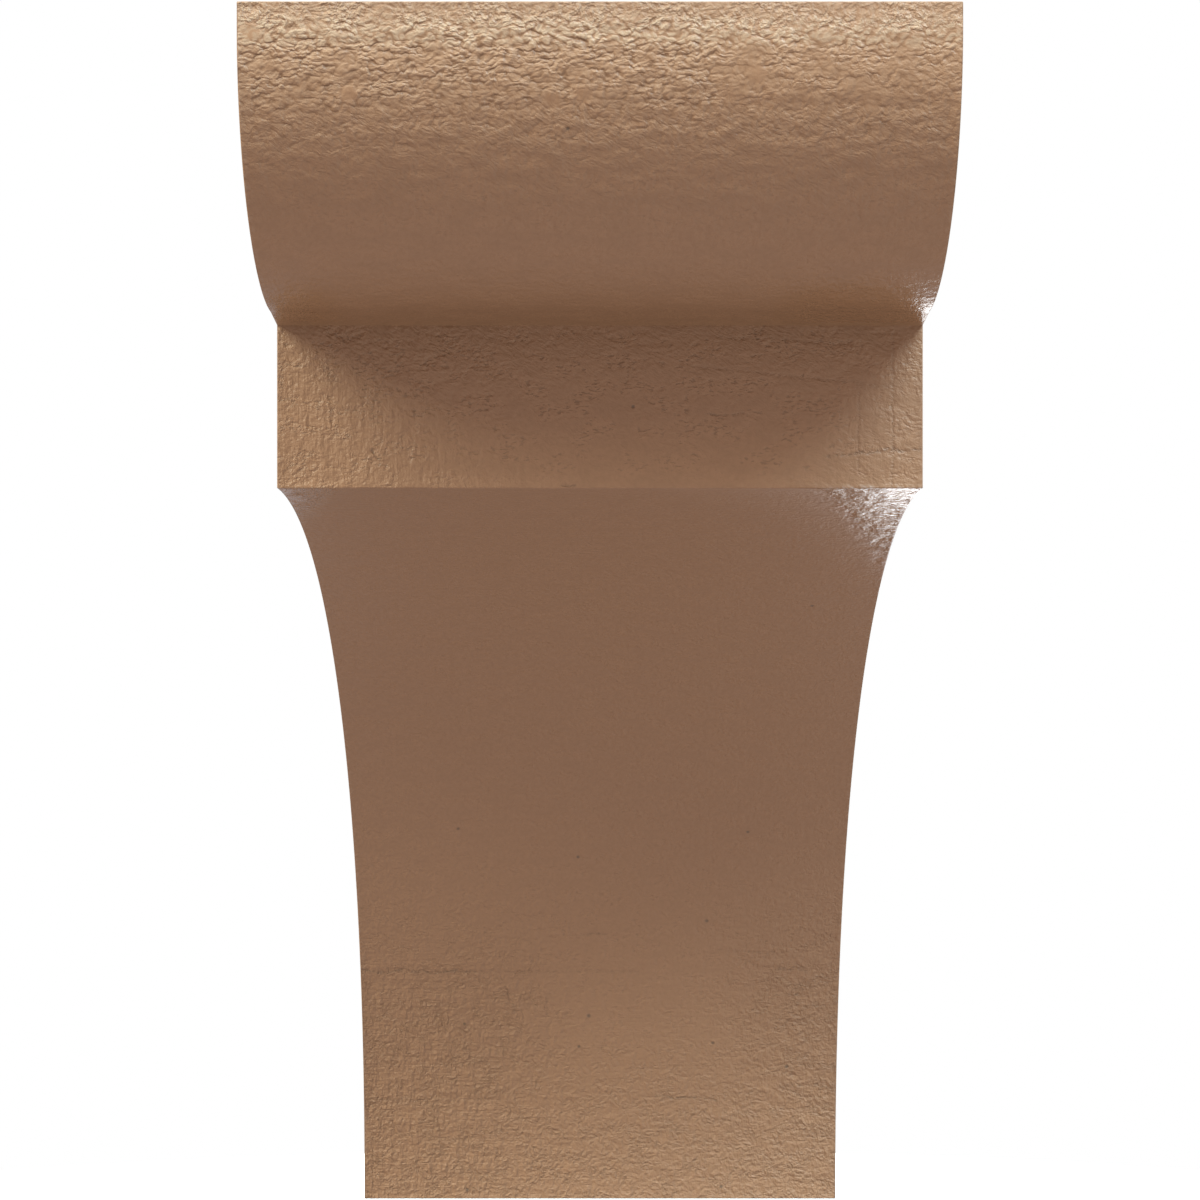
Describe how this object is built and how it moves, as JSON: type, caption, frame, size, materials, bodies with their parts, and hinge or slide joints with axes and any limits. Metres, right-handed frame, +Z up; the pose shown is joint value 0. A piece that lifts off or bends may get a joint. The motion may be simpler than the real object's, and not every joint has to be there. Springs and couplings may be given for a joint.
{
  "type": "corbel",
  "caption": "Plain wall corbel with a rounded nose, a square fascia and a long cove down to a thin foot, in a rough-sawn primed finish.",
  "frame": {"origin": "middle of the flat back face, which goes against the wall", "axes": "+Z up; +Y into the wall, so the nose and the fascia face -Y; +X across the width"},
  "size_m": [0.1524, 0.3048, 0.3048],
  "materials": {
    "tan_primer": "opaque tan primer with a slight sheen over moulded rough-sawn grain"
  },
  "bodies": {
    "root": {"corbel": "tan_primer"}
  },
  "joints": []
}
